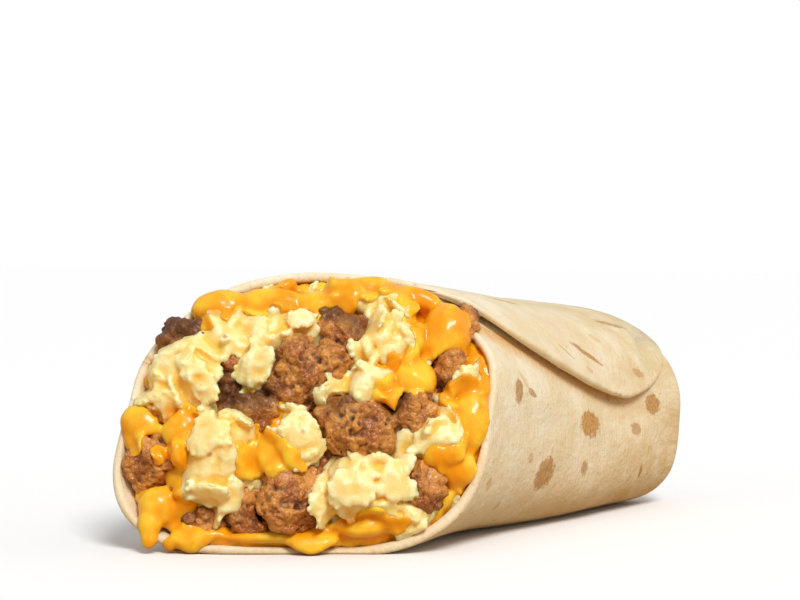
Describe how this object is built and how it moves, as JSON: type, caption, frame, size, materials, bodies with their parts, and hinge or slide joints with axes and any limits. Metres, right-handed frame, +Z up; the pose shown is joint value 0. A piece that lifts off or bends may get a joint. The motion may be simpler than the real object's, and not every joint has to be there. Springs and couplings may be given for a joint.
{
  "type": "burrito",
  "caption": "Breakfast burrito: rolled flour tortilla tucked in at one end, with scrambled egg, sausage crumbles and cheese sauce bulging out of its slanted open end.",
  "frame": {"origin": "on the surface the burrito rests on, under the middle of its box", "axes": "+X along the roll from the open mouth to the tucked end, +Y towards the back, away from the flap's edge, +Z up"},
  "size_m": [0.1352, 0.0712, 0.0556],
  "materials": {
    "tortilla": "matt soft flour tortilla with toasted spots",
    "filling": "moist egg and cheese sauce",
    "sausage": "browned, greasy crumbs",
    "egg": "moist scrambled egg",
    "cheese": "glossy melted cheese sauce"
  },
  "bodies": {
    "root": {"tortilla": "tortilla", "filling": "filling", "sausage_01": "sausage", "sausage_02": "sausage", "sausage_03": "sausage", "sausage_04": "sausage", "sausage_05": "sausage", "sausage_06": "sausage", "sausage_07": "sausage", "sausage_08": "sausage", "sausage_09": "sausage", "sausage_10": "sausage", "sausage_11": "sausage", "sausage_12": "sausage", "sausage_13": "sausage", "sausage_14": "sausage", "sausage_15": "sausage", "sausage_16": "sausage", "egg_01": "egg", "egg_02": "egg", "egg_03": "egg", "egg_04": "egg", "egg_05": "egg", "egg_06": "egg", "egg_07": "egg", "egg_08": "egg", "egg_09": "egg", "egg_10": "egg", "egg_11": "egg", "egg_12": "egg", "egg_13": "egg", "egg_14": "egg", "egg_15": "egg", "egg_16": "egg", "egg_17": "egg", "cheese_01": "cheese", "cheese_02": "cheese", "cheese_03": "cheese", "cheese_04": "cheese", "cheese_05": "cheese", "cheese_06": "cheese", "cheese_07": "cheese", "cheese_08": "cheese", "cheese_09": "cheese", "cheese_10": "cheese", "cheese_11": "cheese"}
  },
  "joints": []
}
